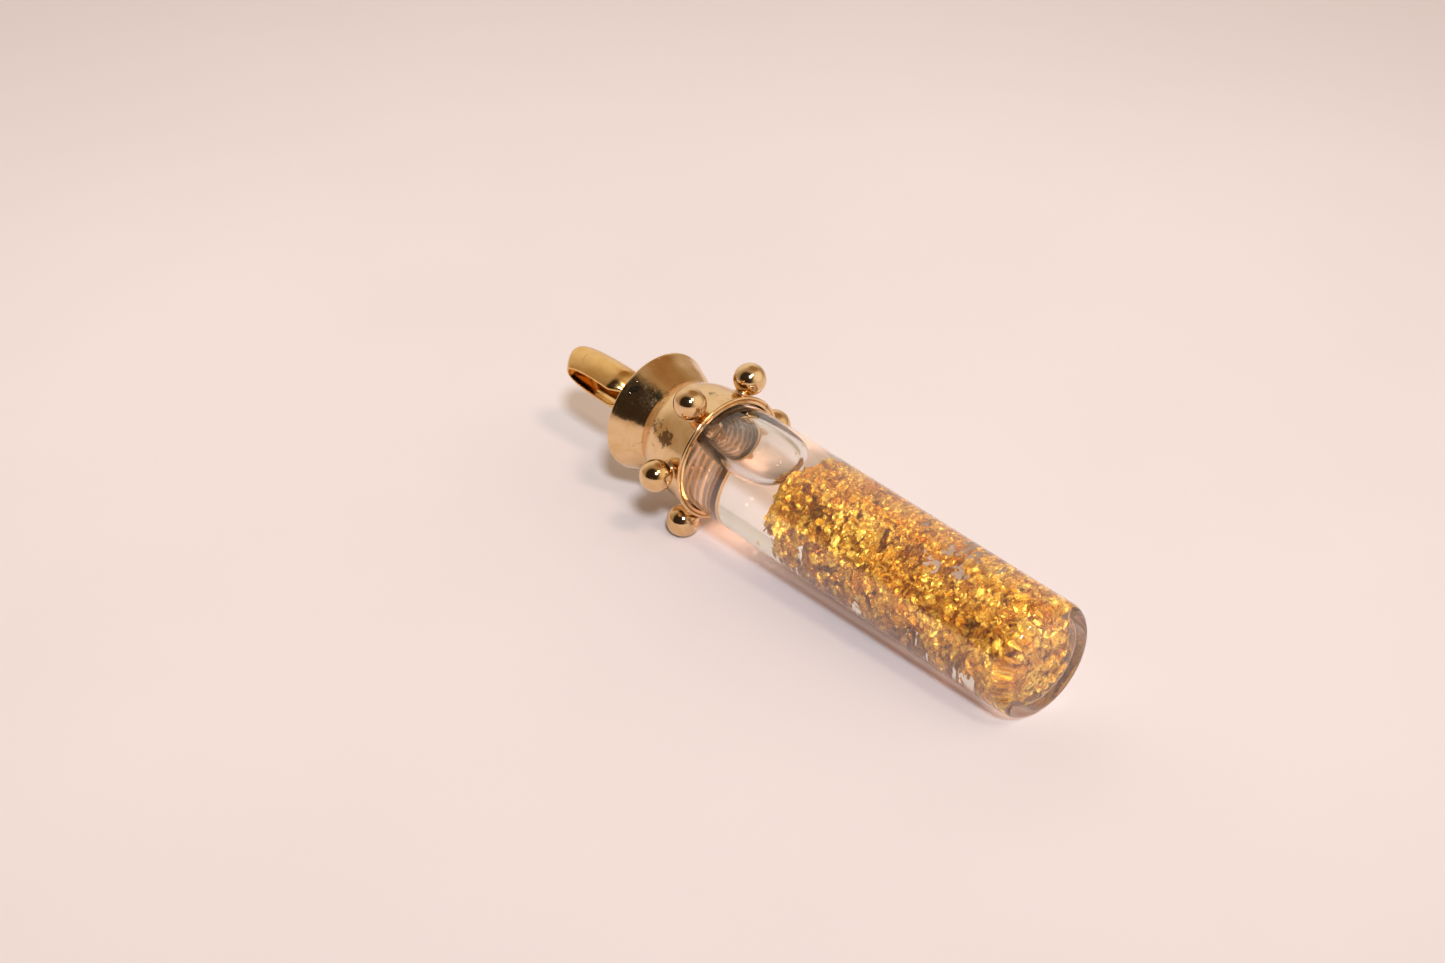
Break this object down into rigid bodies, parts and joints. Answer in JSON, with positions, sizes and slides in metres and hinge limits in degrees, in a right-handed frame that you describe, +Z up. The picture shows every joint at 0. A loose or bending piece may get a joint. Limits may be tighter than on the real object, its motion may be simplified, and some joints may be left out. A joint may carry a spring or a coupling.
{
  "type": "gold sample vial",
  "caption": "Pendant vial: clear glass tube of gold leaf in liquid, closed by a spun metal bell cap with ball beads, an eye and a swinging bail.",
  "frame": {"origin": "middle of the bounding box's bottom face; the vial lies on its side on two beads and the lower edge of its flat bottom", "axes": "+Z up, +X towards the vial's flat bottom along its length, Y across"},
  "size_m": [0.0574, 0.0164, 0.0145],
  "materials": {
    "clear_glass": "polished",
    "clear_liquid": "clear liquid",
    "gold_leaf": "crumpled bright leaf",
    "stopper_rubber": "matt",
    "cement": "cured",
    "cap_metal": "gold plated, polished, lightly tarnished",
    "bead_metal": "gold plated, polished",
    "solder": "satin",
    "bail_metal": "gold plated, polished"
  },
  "bodies": {
    "vial": {"glass_vial": "clear_glass", "liquid": "clear_liquid", "gold_leaf_01": "gold_leaf", "gold_leaf_02": "gold_leaf", "gold_leaf_03": "gold_leaf", "gold_leaf_04": "gold_leaf", "gold_leaf_05": "gold_leaf", "gold_leaf_06": "gold_leaf", "gold_leaf_07": "gold_leaf", "gold_leaf_08": "gold_leaf", "gold_leaf_09": "gold_leaf", "gold_leaf_10": "gold_leaf", "gold_leaf_11": "gold_leaf", "gold_leaf_12": "gold_leaf", "stopper": "stopper_rubber", "cement": "cement", "bell_cap": "cap_metal", "mouth_wire": "cap_metal", "bead_1": "bead_metal", "bead_2": "bead_metal", "bead_3": "bead_metal", "bead_4": "bead_metal", "bead_5": "bead_metal", "bead_6": "bead_metal", "bead_foot_1": "solder", "bead_foot_2": "solder", "bead_foot_3": "solder", "bead_foot_4": "solder", "bead_foot_5": "solder", "bead_foot_6": "solder", "top_eye": "cap_metal", "eye_solder": "solder"},
    "bail": {"bail": "bail_metal"}
  },
  "joints": [
    {"name": "bail_swing", "type": "hinge", "parent": "vial", "child": "bail", "pos_m": [-0.01983, 0, 0.00786], "axis": [0.0604, 0, 0.9982], "range_deg": [-85, 85]}
  ]
}
